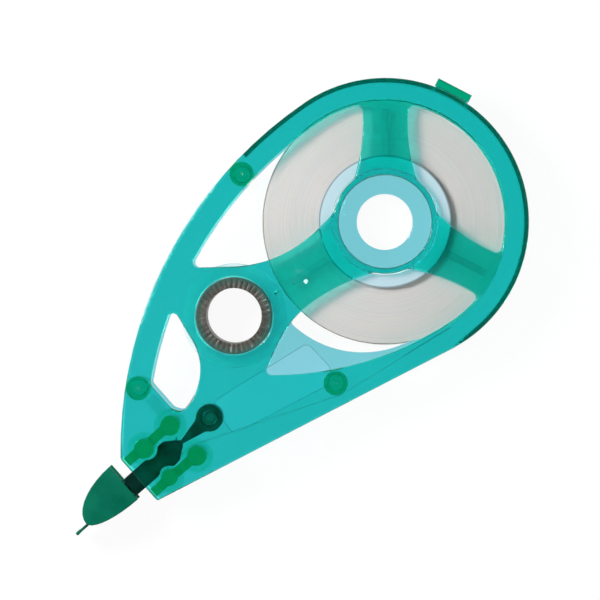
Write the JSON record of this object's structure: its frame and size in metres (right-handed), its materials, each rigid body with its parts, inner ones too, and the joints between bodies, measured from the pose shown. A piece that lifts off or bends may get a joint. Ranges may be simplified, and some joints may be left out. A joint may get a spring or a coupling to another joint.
{
  "type": "correction tape cassette",
  "caption": "Flat teardrop correction tape refill: clear frame halves carry a supply roll, a take-up reel and a nose that twists to press the tape on paper.",
  "frame": {"origin": "middle of the overall outline, on the rear face that the part lies on", "axes": "+X from the nose to the round end, +Z from the rear face to the front face"},
  "size_m": [0.0878, 0.043, 0.009],
  "materials": {
    "clear_teal_plastic": "clear glossy moulded plastic",
    "clear_green_pin_plastic": "deep clear green moulded plastic",
    "dark_green_nose_plastic": "satin moulded plastic",
    "black_green_stem_plastic": "satin moulded plastic",
    "pale_blue_core_plastic": "milky moulded plastic",
    "white_correction_tape": "chalky coating on film, edges of the wound turns",
    "grey_carrier_film": "thin satin film",
    "brown_grey_reel_plastic": "mottled satin plastic",
    "pale_flange_plastic": "pale clear moulded plastic"
  },
  "bodies": {
    "frame": {"front_frame": "clear_teal_plastic", "rear_frame": "clear_teal_plastic", "joining_pin_top": "clear_green_pin_plastic", "joining_pin_nose": "clear_green_pin_plastic", "joining_pin_lower": "clear_green_pin_plastic", "guide_post_return_inner": "clear_green_pin_plastic", "guide_post_return_outer": "clear_green_pin_plastic", "guide_post_feed_inner": "clear_green_pin_plastic", "guide_post_feed_outer": "clear_green_pin_plastic", "anchor_pin": "clear_green_pin_plastic", "stem_anchor": "black_green_stem_plastic", "tape_feed_run": "white_correction_tape", "tape_return_run": "grey_carrier_film"},
    "supply": {"supply_core": "pale_blue_core_plastic", "supply_tape_roll": "white_correction_tape", "supply_tape_outer_turn": "white_correction_tape"},
    "take_up": {"take_up_core": "brown_grey_reel_plastic", "take_up_flange_front": "pale_flange_plastic", "take_up_flange_rear": "pale_flange_plastic", "take_up_winding": "grey_carrier_film"},
    "applicator": {"applicator_stem": "black_green_stem_plastic", "applicator_nose": "dark_green_nose_plastic", "tape_tip_loop": "grey_carrier_film"}
  },
  "joints": [
    {"name": "supply_spin", "type": "hinge", "parent": "frame", "child": "supply", "pos_m": [0.02183, -0.00015, 0.0045], "axis": [0, 0, 1], "continuous": true},
    {"name": "take_up_spin", "type": "hinge", "parent": "frame", "child": "take_up", "pos_m": [-0.00436, 0.00419, 0.0045], "axis": [0, 0, 1], "continuous": true},
    {"name": "tip_twist", "type": "hinge", "parent": "frame", "child": "applicator", "pos_m": [-0.03116, -0.00484, 0.0045], "axis": [1, 0, 0], "range_deg": [-5, 5], "stiffness_Nm_per_rad": 0.003}
  ],
  "couplings": [
    {"joint": "take_up_spin", "follows": "supply_spin", "ratio": -2.6912}
  ]
}
